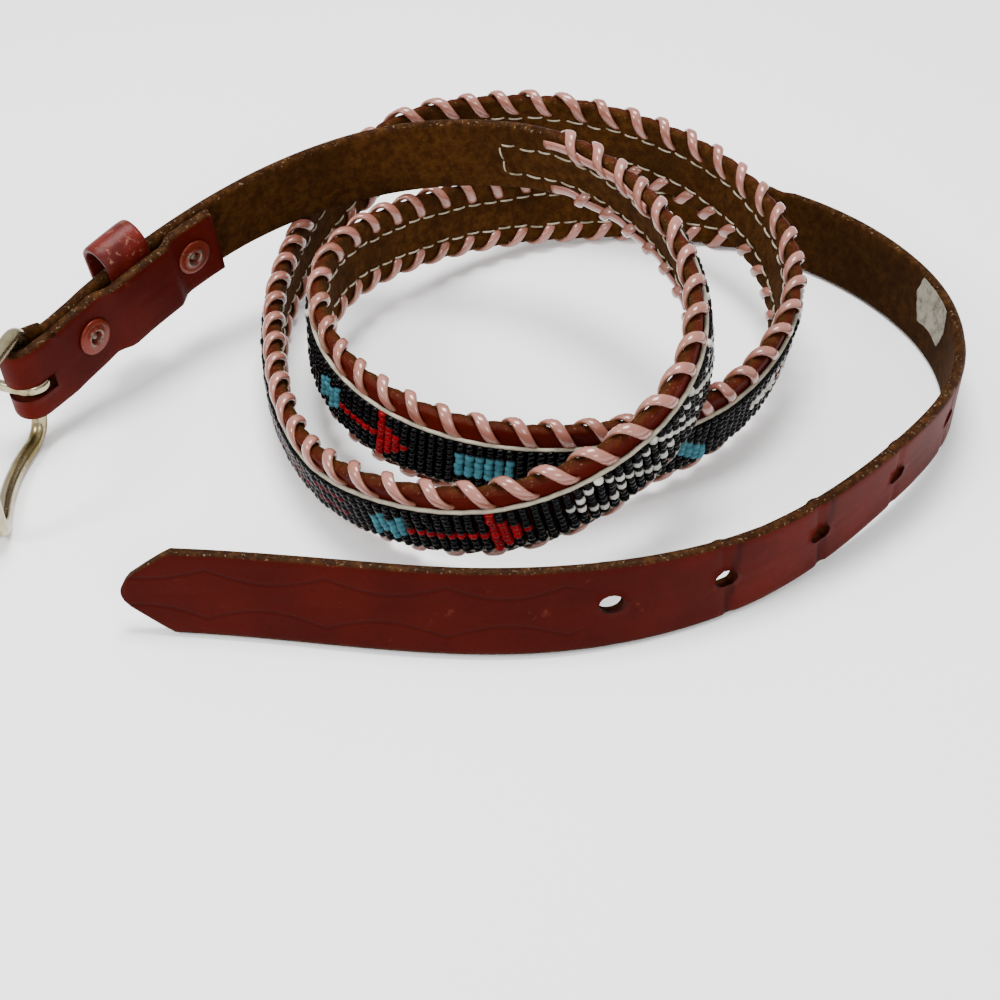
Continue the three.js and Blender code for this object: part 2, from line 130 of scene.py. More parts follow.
def strap_frames(s):
    """Origin, along, up and out at s: along follows the route, up has its lean, out = up x along."""
    s = np.asarray(s, float)
    steps, xs, ys, headings = ROUTE_GRID
    heading = np.interp(s, steps, headings)
    lift = soft_value(2, s) * STRAP_WIDTH
    slope = (soft_value(2, s + 1) - soft_value(2, s - 1)) * STRAP_WIDTH / 2
    lean = np.radians(soft_value(3, s))
    zero = np.zeros_like(s)
    along = unit(np.stack([np.cos(heading), np.sin(heading), slope], -1))
    side = np.stack([-np.sin(heading), np.cos(heading), zero], -1)
    up = side * np.sin(lean)[..., None]
    up[..., 2] += np.cos(lean)
    up = unit(up - along * (up * along).sum(-1, keepdims=True))
    out = np.cross(up, along)
    origin = np.stack([np.interp(s, steps, xs), np.interp(s, steps, ys), lift], -1) + MODEL_SHIFT
    return origin, along, up, out


def on_strap(s, v, w):
    """Points at stations s, heights v and offsets w, which share one shape."""
    s, v, w = np.broadcast_arrays(np.asarray(s, float), v, w)
    origin, along, up, out = strap_frames(s)
    return origin + up * v[..., None] + out * w[..., None]


def fold_share(s):
    """One at the bar, falling softly to zero over the fold's blend."""
    return 1 - smooth((s - BAR_STATION) / FOLD_BLEND)


def turnback_offset(s):
    """Turned-back layer: one spacing behind the outer layer, wider where the keeper's wall lies between."""
    away = np.abs(s - KEEPER_STATION) - KEEPER_BREADTH / 2 - KEEPER_CLEARANCE
    keeper = 1 - smooth(away / KEEPER_BLEND)
    spacing = LAYER_SPACING + (KEEPER_SPACING - LAYER_SPACING) * keeper
    fold = fold_share(s)
    return -spacing * (1 - fold) + (BAR_OFFSET - FOLD_RADIUS) * fold


# Forms: points with faces, fused into pieces

def grid_faces(rows, columns, wrap_rows=False, wrap_columns=True):
    """Quads between neighbours of a grid, whose points are numbered row by row."""
    i, j = np.meshgrid(
        np.arange(rows if wrap_rows else rows - 1),
        np.arange(columns if wrap_columns else columns - 1), indexing="ij")
    k = (i + 1) % rows
    m = (j + 1) % columns
    quads = np.stack([i * columns + j, i * columns + m, k * columns + m, k * columns + j], -1)
    return quads.reshape(-1, 4)


def turned_out(points, faces):
    """Turns every face over when the volume inside comes out negative."""
    volume = 0.0
    for group in faces:
        a = points[group[:, 0]]
        for k in range(1, group.shape[1] - 1):
            volume += np.einsum("ij,ij->", a, np.cross(points[group[:, k]], points[group[:, k + 1]]))
    return faces if volume > 0 else [group[:, ::-1] for group in faces]


def carried(rings, closed=False, **marks):
    """A tube: ring after ring of points (n, m, 3), with flat ends unless it closes on itself."""
    n, m = rings.shape[:2]
    points = rings.reshape(-1, 3)
    faces = [grid_faces(n, m, wrap_rows=closed)]
    if not closed:
        faces.append(np.stack([np.arange(m)[::-1], (n - 1) * m + np.arange(m)]))
    form = {"points": points, "faces": turned_out(points, faces)}
    for name, value in marks.items():
        form[name] = np.broadcast_to(value, (n, m, value.shape[-1])).reshape(n * m, -1)
    return form


def rounded_outline(half_width, half_height, count, squareness=2.0):
    """Closed outline |x/a|^p + |y/b|^p = 1, an ellipse at p = 2."""
    turn = np.arange(count) * 2 * np.pi / count
    c = np.cos(turn)
    s = np.sin(turn)
    x = half_width * np.sign(c) * np.abs(c) ** (2 / squareness)
    y = half_height * np.sign(s) * np.abs(s) ** (2 / squareness)
    return np.stack([x, y], -1)


def swept(path, normal, outline, closed=False, **marks):
    """Carries an outline along a path: its x lies across the path and its y along the given normal."""
    if closed:
        tangent = unit(np.roll(path, -1, 0) - np.roll(path, 1, 0))
    else:
        tangent = unit(np.gradient(path, axis=0))
    normal = unit(normal - tangent * (normal * tangent).sum(-1, keepdims=True))
    across = np.cross(tangent, normal)
    outline = np.broadcast_to(outline, (len(path),) + outline.shape[-2:])
    rings = path[:, None] + across[:, None] * outline[..., :1] + normal[:, None] * outline[..., 1:]
    return carried(rings, closed, **marks)


def fused(forms):
    """One form of many: points and marks in a row, faces numbered on."""
    offset = np.cumsum([0] + [len(f["points"]) for f in forms[:-1]])
    made = {"points": np.concatenate([f["points"] for f in forms])}
    made["faces"] = [g + k for f, k in zip(forms, offset) for g in f["faces"]]
    for name in forms[0]:
        if name not in made:
            made[name] = np.concatenate([f[name] for f in forms])
    return made


def add_piece(name, form, finish, body, replaces=()):
    """Makes the mesh in metres, with each mark as a colour attribute of the same name."""
    mesh = bpy.data.meshes.new(name)
    faces = [face for group in form["faces"] for face in group.tolist()]
    mesh.from_pydata((form["points"] / 1000).tolist(), [], faces)
    mesh.shade_smooth()
    for mark, values in form.items():
        if mark in ("points", "faces"):
            continue
        colour = np.ones((len(values), 4), np.float32)
        colour[:, :values.shape[1]] = values
        layer = mesh.color_attributes.new(mark, "FLOAT_COLOR", "POINT")
        layer.data.foreach_set("color", colour.ravel())
    mesh.materials.append(finish)
    piece = bpy.data.objects.new(name, mesh)
    bpy.context.scene.collection.objects.link(piece)
    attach(piece, body)
    if replaces:
        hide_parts(*replaces)
    return piece


# Finishes

def tint(code):
    """Linear colour of a six-digit screen colour."""
    c = np.array([int(code[i:i + 2], 16) for i in (0, 2, 4)]) / 255
    linear = np.where(c < 0.04045, c / 12.92, ((c + 0.055) / 1.055) ** 2.4)
    return (*linear.tolist(), 1.0)


class Amount:
    """A number that varies over a surface, for sums in plain Python."""

    def __init__(self, finish, socket):
        self.finish = finish
        self.socket = socket

    def __add__(self, other):
        return self.finish.sum_of("ADD", self, other)

    def __radd__(self, other):
        return self.finish.sum_of("ADD", other, self)

    def __sub__(self, other):
        return self.finish.sum_of("SUBTRACT", self, other)

    def __rsub__(self, other):
        return self.finish.sum_of("SUBTRACT", other, self)

    def __mul__(self, other):
        return self.finish.sum_of("MULTIPLY", self, other)

    def __rmul__(self, other):
        return self.finish.sum_of("MULTIPLY", other, self)

    def above(self, low, high):
        """0 below low, 1 above high, and a soft step between."""
        return self.finish.node(
            "ShaderNodeMapRange", {"interpolation_type": "SMOOTHSTEP"},
            {"Value": self, "From Min": low, "From Max": high})


class Finish:
    """A material: its fixed numbers are set on the shader, and nodes come from one method."""

    def __init__(self, name, **fixed):
        self.material = bpy.data.materials.new(name)
        self.material.use_nodes = True
        self.tree = self.material.node_tree
        self.shader = self.tree.nodes["Principled BSDF"]
        for socket, number in fixed.items():
            self.shader.inputs[socket.replace("_", " ")].default_value = number

    def node(self, kind, settings=None, sockets=None, output=0):
        made = self.tree.nodes.new(kind)
        for key, value in (settings or {}).items():
            setattr(made, key, value)
        for key, value in (sockets or {}).items():
            if isinstance(value, Amount):
                self.tree.links.new(value.socket, made.inputs[key])
            else:
                made.inputs[key].default_value = value
        return Amount(self, made.outputs[output])

    def sum_of(self, operation, a, b):
        return self.node("ShaderNodeMath", {"operation": operation}, {0: a, 1: b})

    def place(self):
        return self.node("ShaderNodeTexCoord", output="Object")

    def mark(self, name):
        return self.node("ShaderNodeAttribute", {"attribute_name": name}, output="Color")

    def channel(self, colour, index):
        return self.node("ShaderNodeSeparateColor", None, {0: colour}, output=index)

    def noise(self, scale, detail=4.0, roughness=0.55, place=None):
        sockets = {
            "Vector": place or self.place(), "Scale": scale, "Detail": detail, "Roughness": roughness}
        return self.node("ShaderNodeTexNoise", None, sockets)

    def mix(self, share, a, b):
        sockets = {0: share, 6: a, 7: b}
        return self.node("ShaderNodeMix", {"data_type": "RGBA"}, sockets, output=2)

    def bump(self, height, distance, strength=1.0):
        sockets = {"Height": height, "Distance": distance, "Strength": strength}
        return self.node("ShaderNodeBump", None, sockets)

    def shade(self, **links):
        for socket, value in links.items():
            self.tree.links.new(value.socket, self.shader.inputs[socket.replace("_", " ")])
        return self.material


def strap_leather():
    """Red-brown grain, brown flesh and raw edges by the side mark, darkened by painted shade from its third
    channel, with scuffs and fibres as noise.
    """
    look = Finish("strap leather", Specular_IOR_Level=0.04)
    side = look.mark("side")
    grain = look.channel(side, 0)
    edge = look.channel(side, 1)
    # Painted shade, read from the side mark's third channel.
    shade = look.channel(side, 2)
    broad = look.noise(55, 3)
    fine = look.noise(900, 6, 0.65)
    fibre = look.noise(420, 8, 0.75)
    dye_and_painted_shade = look.mix(broad.above(0.3, 0.7), tint("3c0803"), tint("4a0e06"))
    dye_and_painted_shade = look.mix(fine.above(0.52, 0.75) * 0.5, dye_and_painted_shade, tint("280604"))
    scuffed = look.noise(240, 9, 0.72).above(0.62, 0.72)
    dye_and_painted_shade = look.mix(scuffed * 0.4, dye_and_painted_shade, tint("7a3f30"))
    # Painted shade on the grain side: darker on the turned-back layer, the tail, 910 to 1015 mm and the
    # creases.
    dye_and_painted_shade = look.mix(shade * 0.85, dye_and_painted_shade, tint("230301"))
    raw = look.mix(fibre.above(0.35, 0.7), tint("2b1504"), tint("44290c"))
    raw = look.mix(broad.above(0.45, 0.75) * 0.6, raw, tint("1f0f03"))
    # Painted shade on the flesh side, from the same channel.
    raw = look.mix(shade, raw, tint("120701"))
    cut = look.mix(fibre.above(0.42, 0.68), tint("211004"), tint("3f260f"))
    cut = look.mix(look.noise(1500, 3).above(0.61, 0.7) * 0.38, cut, tint("94866a"))
    colour = look.mix(grain, raw, dye_and_painted_shade)
    colour = look.mix(edge * 1.2, colour, cut)
    route = look.mark("route")
    s = look.channel(route, 0)
    v = look.channel(route, 1)
    arch = look.sum_of("ABSOLUTE", look.sum_of("SINE", s * (np.pi / 24), 0), 0)
    low_line = look.sum_of("ABSOLUTE", v - 4.2 - arch * 2.6, 0)
    high_line = look.sum_of("ABSOLUTE", v - 15.2 + arch * 2.4, 0)
    line = 1 - look.sum_of("MINIMUM", low_line, high_line).above(0.15, 0.6)
    tooled = line * s.above(1122, 1128) * grain
    colour = look.mix(tooled * 0.32, colour, tint("1f0402"))
    height = fine * 0.35 + fibre * (1 - grain) * 0.8 + broad * 0.5 - tooled * 0.6
    rough = 0.92 - grain * 0.42 + scuffed * grain * 0.2
    normal = look.bump(height, 0.00022, 0.7)
    return look.shade(Base_Color=colour, Roughness=rough, Normal=normal)


def keeper_leather():
    """Red-brown leather with light worn specks on its crown."""
    look = Finish("keeper leather", Specular_IOR_Level=0.16)
    worn = look.noise(600, 8, 0.7).above(0.56, 0.66)
    fine = look.noise(1100, 5)
    colour = look.mix(look.noise(120, 3).above(0.35, 0.65), tint("400b06"), tint("56130b"))
    colour = look.mix(worn * 0.45, colour, tint("9a6a55"))
    normal = look.bump(fine + worn * 0.4, 0.0002, 0.6)
    return look.shade(Base_Color=colour, Roughness=0.4 + worn * 0.3, Normal=normal)


def glass_beads():
    """Each bead's own colour, a little uneven, under bright glass."""
    look = Finish("glass beads", Coat_Roughness=0.05, Specular_IOR_Level=0.06)
    bead = look.mark("bead")
    gloss = look.node("ShaderNodeAttribute", {"attribute_name": "gloss"}, output="Fac")
    colour = look.mix(look.noise(500, 2).above(0.3, 0.8) * 0.35, bead, tint("040404"))
    rough = 0.12 + gloss * 0.3 + look.noise(300, 2) * 0.08
    return look.shade(Base_Color=colour, Roughness=rough, Coat_Weight=0.045 - gloss * 0.04)


def pink_vinyl():
    """Glossy pink lace, yellowed and dirty in patches."""
    look = Finish("pink vinyl lace", Coat_Roughness=0.08, Specular_IOR_Level=0.5, Coat_Weight=0.5)
    face = look.channel(look.mark("lace"), 0)
    tired = look.noise(90, 4).above(0.4, 0.7)
    colour = look.mix(tired, tint("905c50"), tint("7b4a3a"))
    colour = look.mix((1 - face) * 0.75, colour, tint("5c3d20"))
    dirt = look.noise(700, 5, 0.7).above(0.62, 0.75)
    colour = look.mix(dirt * 0.35, colour, tint("6a4538"))
    rough = 0.24 + dirt * 0.25
    return look.shade(Base_Color=colour, Roughness=rough, Normal=look.bump(tired, 0.0001, 0.4))


def pale_thread():
    """Off-white sewing thread, greyed in patches, with fine twist."""
    look = Finish("pale thread", Specular_IOR_Level=0.25)
    grey = look.noise(350, 4).above(0.4, 0.7)
    colour = look.mix(grey, tint("a79d88"), tint("6f6653"))
    rough = 0.8 + grey * 0.1
    twist = look.bump(look.noise(2500, 3), 0.0001, 0.8)
    return look.shade(Base_Color=colour, Roughness=rough, Normal=twist)


def worn_wire():
    """Plated wire: pale nickel that wears to a dull brass, with fine scratches."""
    look = Finish("worn plated wire", Metallic=1.0)
    worn = look.noise(110, 6, 0.65).above(0.42, 0.66)
    scratch = look.noise(1400, 6, 0.7)
    colour = look.mix(worn, tint("a59c80"), tint("74653e"))
    rough = 0.17 + worn * 0.16 + scratch.above(0.5, 0.8) * 0.16
    return look.shade(Base_Color=colour, Roughness=rough, Normal=look.bump(scratch, 0.00005, 0.5))


def rivet_metal():
    """Red lacquer over metal, worn through to grey on the ring's high line."""
    look = Finish("lacquered rivet", Specular_IOR_Level=0.25)
    high = look.channel(look.mark("wear"), 0)
    chipped = (look.noise(800, 6, 0.7) + high * 0.2).above(0.6, 0.7)
    colour = look.mix(look.noise(300, 3), tint("54170a"), tint("6e2615"))
    colour = look.mix(chipped, colour, tint("6f655a"))
    metal = 0.35 + chipped * 0.6
    return look.shade(Base_Color=colour, Roughness=0.3 + chipped * 0.15, Metallic=metal)


def bare_paper():
    """Old white paper, soiled and rubbed."""
    look = Finish("bare paper", Specular_IOR_Level=0.2)
    soiled = look.noise(350, 7, 0.7).above(0.45, 0.7)
    colour = look.mix(soiled, tint("7f7a6c"), tint("4f4a3f"))
    rough = 0.85 + soiled * 0.1
    return look.shade(Base_Color=colour, Roughness=rough, Normal=look.bump(soiled, 0.0001))


def studio_white():
    """Plain white ground with a barely uneven sheen."""
    look = Finish("studio white", Specular_IOR_Level=0.2)
    uneven = look.noise(4, 2)
    colour = look.mix(uneven, tint("fbfbfb"), tint("ffffff"))
    return look.shade(Base_Color=colour, Roughness=0.8 + uneven * 0.05)


# Strap

FACE_LINES = np.array([1.0, 2.4, 4.1, 5.8, 7, 8, 9, 9.4, 10, 11, 12, 13.5, 15, 16.6, 18.0])
EDGE_TURNS = np.radians([60, 30, 0, -30, -60])
OPPOSITE = 2 * len(FACE_LINES) + len(EDGE_TURNS) - 1
SLOT_LINES = (3, 7)
HOLE_LINES = (5, 10)
SLOT_REACH = 26.7
HOLE_HALF = np.array([2.7, 2.0])
HOLE_MIDDLE = 10
CREASE_DEPTHS = [0.1, 0.55, 0.6, 0.35, 0.3]


def section_lines():
    """Strap section: grain face upward, round the top edge, flesh face downward, round the lower edge."""
    v = np.concatenate([
        FACE_LINES, STRAP_WIDTH - EDGE_ROUND + EDGE_ROUND * np.cos(EDGE_TURNS),
        FACE_LINES[::-1], EDGE_ROUND - EDGE_ROUND * np.cos(EDGE_TURNS)])
    w = HALF_LEATHER * np.concatenate([
        np.ones(len(FACE_LINES)), np.sin(EDGE_TURNS), -np.ones(len(FACE_LINES)), -np.sin(EDGE_TURNS)])
    return v, w


def strap_stations():
    """Stations 1.5 mm apart, moved to meet each hole's rim."""
    rims = np.array([-2.1, -1.5, -1, -0.6, -0.2, 0.2, 0.6, 1, 1.5, 2.1]) * HOLE_HALF[0]
    plain = np.arange(TURNBACK_END, ROUTE_LENGTH - TIP_TAPER, 1.5)
    for hole in HOLES:
        plain = plain[np.abs(plain - hole) > 6.4]
    holes = np.concatenate([hole + rims for hole in HOLES])
    root = np.concatenate([
        np.arange(BAR_STATION, SLOT_REACH, 1.04), [SLOT_REACH], np.arange(28, TURNBACK_END, 1.5)])
    tip = np.linspace(ROUTE_LENGTH - TIP_TAPER, ROUTE_LENGTH, 7)
    return np.concatenate([root, np.sort(np.concatenate([plain, holes])), tip])


def cut_window(faces, columns, i_range, j_range):
    """Cuts a block of cells out of both faces, where j lies behind OPPOSITE - j, and walls the opening."""
    i0, i1 = i_range
    j0, j1 = j_range
    i = faces[:, 0] // columns
    j = faces[:, 0] % columns
    front = (j >= j0) & (j < j1)
    back = (j >= OPPOSITE - j1) & (j < OPPOSITE - j0)
    kept = faces[~((i >= i0) & (i < i1) & (front | back))]
    rim = [(i0, j) for j in range(j0, j1)] + [(i, j1) for i in range(i0, i1)]
    rim += [(i1, j) for j in range(j1, j0, -1)] + [(i, j0) for i in range(i1, i0, -1)]
    rim = np.array(rim)
    outer = rim[:, 0] * columns + rim[:, 1]
    inner = rim[:, 0] * columns + OPPOSITE - rim[:, 1]
    walls = np.stack([outer, inner, np.roll(inner, -1), np.roll(outer, -1)], -1)
    return np.concatenate([kept, walls])


def strap_path():
    """Stations, negative on the turned-back layer and zero in the fold, their frames, and the slot's ends."""
    back_s = np.concatenate([
        np.arange(TURNBACK_END, 27.5, -1.5), [SLOT_REACH], np.arange(25.6, 21.6, -1.0)])
    back_origin, back_along, back_up, back_out = strap_frames(back_s)
    back_origin = back_origin + back_out * turnback_offset(back_s)[:, None]
    fold = np.radians(np.arange(180, -1, -10.0))[:, None]
    bar, along, up, out = (x[None] for x in strap_frames(BAR_STATION))
    fold_out = out * np.cos(fold) - along * np.sin(fold)
    fold_origin = bar + out * BAR_OFFSET + fold_out * FOLD_RADIUS
    fold_along = out * np.sin(fold) + along * np.cos(fold)
    front_s = strap_stations()
    front_origin, front_along, front_up, front_out = strap_frames(front_s[1:])
    reach = (BAR_OFFSET + FOLD_RADIUS) * fold_share(front_s[1:])
    front_origin = front_origin + front_out * reach[:, None]
    stations = np.concatenate([-back_s, np.zeros(len(fold)), front_s[1:]])
    frames = (
        np.concatenate([back_origin, fold_origin, front_origin]),
        np.concatenate([-back_along, fold_along, front_along]),
        np.concatenate([back_up, np.repeat(up, len(fold), 0), front_up]),
        np.concatenate([-back_out, fold_out, front_out]))
    slot_end = len(back_s) + len(fold) - 1 + int(np.argmin(np.abs(front_s - SLOT_REACH)))
    return stations, frames, (len(back_s) - 4, slot_end)


def strap_side(s, v, line_w, laced):
    """Channels for share of grain, share of raw edge, and painted shade on the turned end, the tail, the
    stretch from 910 to 1015 mm and the creases by two holes.
    """
    side = np.zeros(v.shape + (3,))
    side[..., 0] = (np.sin(np.clip(line_w / HALF_LEATHER, -1, 1) * np.pi / 2) + 1) / 2
    side[..., 1] = 0.8 * (np.abs(line_w) < 1.2) * (1 - 0.6 * laced)
    # Third channel is painted shade: a light darkening of the turned-back layer, deeper darkening towards the
    # tail and over 910 to 1015 mm.
    side[..., 2] = np.where(s < 0, 0.18, 0) + 0.6 * smooth((s - 1070) / 60)
    side[..., 2] += 0.55 * smooth((s - 910) / 30) * smooth((1015 - s) / 30)
    # Painted shade as dark lines along the creases beside the second and third holes.
    for hole in HOLES[1:3]:
        away = s - hole + 1.6 + 0.15 * (v - STRAP_MIDDLE)
        side[..., 2] += 1.2 * np.exp(-(away / 0.7) ** 2)
    return np.clip(side, 0, 1)


def strap_form():
    """The strap's section carried from the turned end round the bar and along the route to the tip."""
    line_v, line_w = section_lines()
    stations, (origin, along, up, out), slot = strap_path()
    n = len(stations)
    m = len(line_v)
    v = np.broadcast_to(line_v, (n, m)).copy()
    w = np.broadcast_to(line_w, (n, m)).copy()
    slide = np.zeros((n, m))
    s = stations[:, None]
    laced = smooth((s - 170) / 6) * (1 - smooth((s - 922) / 6))
    pinch = np.cos(2 * np.pi * (s - LACE_START - LACE_PITCH / 2) / LACE_PITCH)
    near_edge = smooth(np.abs(v - STRAP_MIDDLE) / STRAP_MIDDLE * 3 - 2)
    v += laced * near_edge * np.sign(STRAP_MIDDLE - v) * (0.25 + 0.25 * pinch)
    w *= 1 + laced * near_edge * (0.12 - 0.2 * pinch) + 0.03 * np.sin(s / 7.3) * np.sin(v * 1.7 + s / 19)
    for hole, depth in zip(HOLES, CREASE_DEPTHS):
        x = (s - hole) / HOLE_HALF[0]
        y = (v - HOLE_MIDDLE) / HOLE_HALF[1]
        square = np.maximum(np.abs(x), np.abs(y))
        circle = np.maximum(np.hypot(x, y), 1e-9)
        pull = (square / circle - 1) * (1 - smooth((square - 1) / 1.1))
        pull = np.where((np.abs(s - hole) < 6) & (np.abs(line_w) > 1.29), pull, 0)
        slide += x * pull * HOLE_HALF[0]
        v += y * pull * HOLE_HALF[1]
        crease = np.exp(-((s - hole - 0.12 * (v - STRAP_MIDDLE)) / 0.9) ** 2)
        w -= depth * crease * (1 - 0.5 * smooth((2.2 - circle) / 1.2))
    point = np.clip((s - ROUTE_LENGTH + TIP_TAPER) / TIP_TAPER, 0, 1)
    taper = 1 - (1 - 4.4 / STRAP_WIDTH) * point ** 1.1
    v = STRAP_MIDDLE + (v - STRAP_MIDDLE) * taper
    slide += 2.2 * point * (1 - 0.35 * ((v - STRAP_MIDDLE) / 2.2) ** 2 * (point > 0.99))
    points = origin[:, None] + along[:, None] * slide[..., None]
    points = points + up[:, None] * v[..., None] + out[:, None] * w[..., None]
    points[..., 2] = np.maximum(points[..., 2], 0)
    faces = cut_window(grid_faces(n, m), m, slot, SLOT_LINES)
    for hole in HOLES:
        first = int(np.argmin(np.abs(stations - hole + HOLE_HALF[0])))
        last = int(np.argmin(np.abs(stations - hole - HOLE_HALF[0])))
        faces = cut_window(faces, m, (first, last), HOLE_LINES)
    caps = np.stack([np.arange(m)[::-1], (n - 1) * m + np.arange(m)])
    points = points.reshape(-1, 3)
    # The side mark's third channel holds the painted shade.
    side = strap_side(s, v, line_w, laced).reshape(-1, 3)
    route = np.stack([np.broadcast_to(s, v.shape), v, np.zeros((n, m))], -1).reshape(-1, 3)
    return {"points": points, "faces": turned_out(points, [faces, caps]), "side": side, "route": route}


# Beads

BLACK, RED, TURQUOISE, WHITE, CRIMSON = range(5)
BEAD_COLOURS = np.array([tint(c)[:3] for c in ("020203", "7c050f", "3a707c", "c8c5bd", "4e0814")])
BEAD_GLOSS = np.array([0.0, 0.1, 0.8, 0.6, 0.1])


def bead_chart(s, row):
    """Bead colours at s in rows from the top: nets, arrows, bars, a slant, stepped diamonds and dashes."""
    colour = np.full(s.shape, BLACK)
    for start, end in ((188, 291), (762, 826)):
        column = np.floor((end - s) / BEAD_PITCH) % 6
        net = np.abs(row - 3) == 3 - np.abs(column - 3)
        colour[(s > start) & (s < end) & net] = WHITE
    for tip, shaft, feather in ((296, 321, 331), (723, 744, 752), (512, 536, 545)):
        column = np.floor((s - tip) / BEAD_PITCH)
        head = (column >= 0) & (column < 4)
        spread = np.array([0, 1, 2, 4])[np.clip(column, 0, 3).astype(int)]
        colour[head & (np.abs(row - 4) <= spread)] = RED
        colour[(column >= 4) & (s < shaft) & (row == 4)] = RED
        slant = row - np.floor((s - shaft) / BEAD_PITCH) % 2
        colour[(s >= shaft) & (s < feather) & (slant >= 2) & (slant <= 5)] = TURQUOISE
    for start, end in ((700, 713), (165, 177), (846, 858)):
        colour[(s > start) & (s < end) & (row >= 2) & (row <= 5)] = TURQUOISE
    slant = row + np.floor((s - 656) / BEAD_PITCH) - 2
    colour[(s > 656) & (s < 669) & (np.abs(slant - 4) <= 1)] = TURQUOISE
    for middle in (604, 434, 884):
        step = np.floor(np.abs(s - middle) / BEAD_PITCH) * 0.22 + np.abs(row - 3.5) * 0.9
        colour[step < 4.4] = WHITE
        colour[step < 3.3] = CRIMSON
        colour[step < 1.6] = TURQUOISE
    stripes = (s > 336) & (s < 388) & (np.floor((s - 336) / BEAD_PITCH) % 7 < 5)
    colour[stripes & ((row == 2) | (row == 5))] = CRIMSON
    return colour


def bead_field():
    """Barrel beads of four rings of eight points, each tilted a little, in rows between two pale cords."""
    chance = np.random.default_rng(7)
    column = np.arange(int((BEAD_END - BEAD_START) / BEAD_PITCH))
    s, row = np.meshgrid(BEAD_START + BEAD_PITCH * (column + 0.5), np.arange(BEAD_ROWS), indexing="ij")
    colour = bead_chart(s, row)
    gloss = BEAD_GLOSS[colour].ravel()
    shade = BEAD_COLOURS[colour].reshape(-1, 3) * chance.uniform(0.8, 1.15, (s.size, 1))
    s = s.ravel() + chance.normal(0, 0.09, s.size)
    v = BEAD_TOP - BEAD_ROW * (row.ravel() + 0.5) + chance.normal(0, 0.05, s.size)
    w = 2.32 + chance.normal(0, 0.07, s.size)
    origin, along, up, out = strap_frames(s)
    middle = origin + up * v[:, None] + out * w[:, None]
    tilt = chance.normal(0, 0.09, s.size)[:, None]
    a = along * np.cos(tilt) + up * np.sin(tilt)
    b = up * np.cos(tilt) - along * np.sin(tilt)
    size = chance.normal(1, 0.04, s.size)[:, None, None]
    turn = np.arange(8) * np.pi / 4 + np.pi / 8
    high = np.array([-0.69, -0.4, 0.4, 0.69])
    wide = np.array([0.74, 1.07, 1.07, 0.74])
    x = (wide[:, None] * np.cos(turn)).ravel()[None, :, None] * size
    y = (high[:, None] * np.ones(8)).ravel()[None, :, None]
    z = (wide[:, None] * np.sin(turn)).ravel()[None, :, None] * size * 0.95
    points = middle[:, None] + a[:, None] * x + b[:, None] * y + out[:, None] * z
    one = [grid_faces(4, 8), np.stack([np.arange(8)[::-1], 24 + np.arange(8)])]
    one = turned_out(points[0], one)
    step = np.arange(len(s))[:, None, None] * points.shape[1]
    faces = [(step + group[None]).reshape(-1, group.shape[1]) for group in one]
    beads = {
        "points": points.reshape(-1, 3), "faces": faces,
        "bead": np.repeat(shade, points.shape[1], 0),
        "gloss": np.repeat(gloss[:, None] * np.ones(3), points.shape[1], 0)}
    cords = []
    for v_cord, w_cord, thick in ((14.35, 2.0, 0.42), (2.75, 2.0, 0.36)):
        t = np.arange(BEAD_START, BEAD_END, BEAD_PITCH)
        path = on_strap(t, v_cord + 0.08 * np.sin(t * 1.5), w_cord)
        pale = np.broadcast_to(np.array(tint("a89f8c")[:3]), (len(t), 6, 3))
        dull = np.ones((len(t), 6, 3))
        outline = rounded_outline(thick, thick * 1.3, 6)
        cords.append(swept(path, strap_frames(t)[3], outline, bead=pale, gloss=dull))
    return fused([beads, *cords])


# Lacing

def lace_path(turns, upper):
    """An ellipse round the strap's edge, which moves on by one pitch while outside the leather."""
    angle = 2 * np.pi * (turns % 1)
    entry = 0.6
    advance = np.clip((angle - entry) / (2 * np.pi - 2 * entry), 0, 1)
    s = LACE_START + LACE_PITCH * (np.floor(turns) + advance)
    over_tail = smooth((s - 170) / 4) * (1 - smooth((s - (208 if upper else 226)) / 4))
    puffed = smooth((s - 205) / 25) * (1 - smooth((s - 330) / 30))
    outward = 1.0 if upper else 0.86
    inward = 1 + 0.3 * over_tail + (0.06 * puffed if upper else 0)
    w = 2.05 * np.sin(angle) * np.where(np.sin(angle) < 0, inward, outward)
    loose = 1 + 0.06 * np.sin(turns * 2.1) + 0.05 * np.sin(np.floor(turns) * 12.9)
    if upper:
        high = 19.8 + 0.25 * puffed + 0.15 * np.sin(np.floor(turns) * 7.7)
        v = high - 2.85 * loose * (1 + np.cos(angle))
    else:
        v = -0.25 + (2.15 - 0.45 * np.sin(angle)) * (1 + np.cos(angle))
    return s, v, w, angle


def whip_lace(upper):
    """A flattened lace along its path, with its glossy face turned away from the edge it winds round."""
    per_turn = 22
    count = int((LACE_END - LACE_START) / LACE_PITCH) - 1
    turns = np.arange(0.05, count, 1 / per_turn)
    s, v, w, angle = lace_path(turns, upper)
    origin, along, up, out = strap_frames(s)
    path = origin + up * v[:, None] + out * w[:, None]
    away = out * np.sin(angle)[:, None] - up * np.cos(angle)[:, None] * (1 if upper else -1)
    outline = rounded_outline(1.3, 0.68, 10, 2.1)
    face = np.clip(outline[:, 1] / 0.3 + 0.6, 0, 1)[None, :, None] * np.ones((len(turns), 1, 3))
    form = swept(path, away, outline, lace=face)
    form["points"][:, 2] = np.maximum(form["points"][:, 2], 0.02)
    return form


def running_lace(start, end, height, drift):
    """The lace's own end, laid flat along the flesh side under the whips."""
    s = np.arange(start, end, 1.2)
    v = height + drift * np.sin((s - start) / LACE_PITCH * np.pi)
    w = -1.3 - 0.55 - 0.12 * np.sin((s - start) * 2 * np.pi / LACE_PITCH)
    path = on_strap(s, v, w)
    outline = rounded_outline(1.2, 0.5, 10, 2.4)
    ones = np.ones((len(s), 10, 3))
    return swept(path, -strap_frames(s)[3], outline, lace=ones)


# Stitches

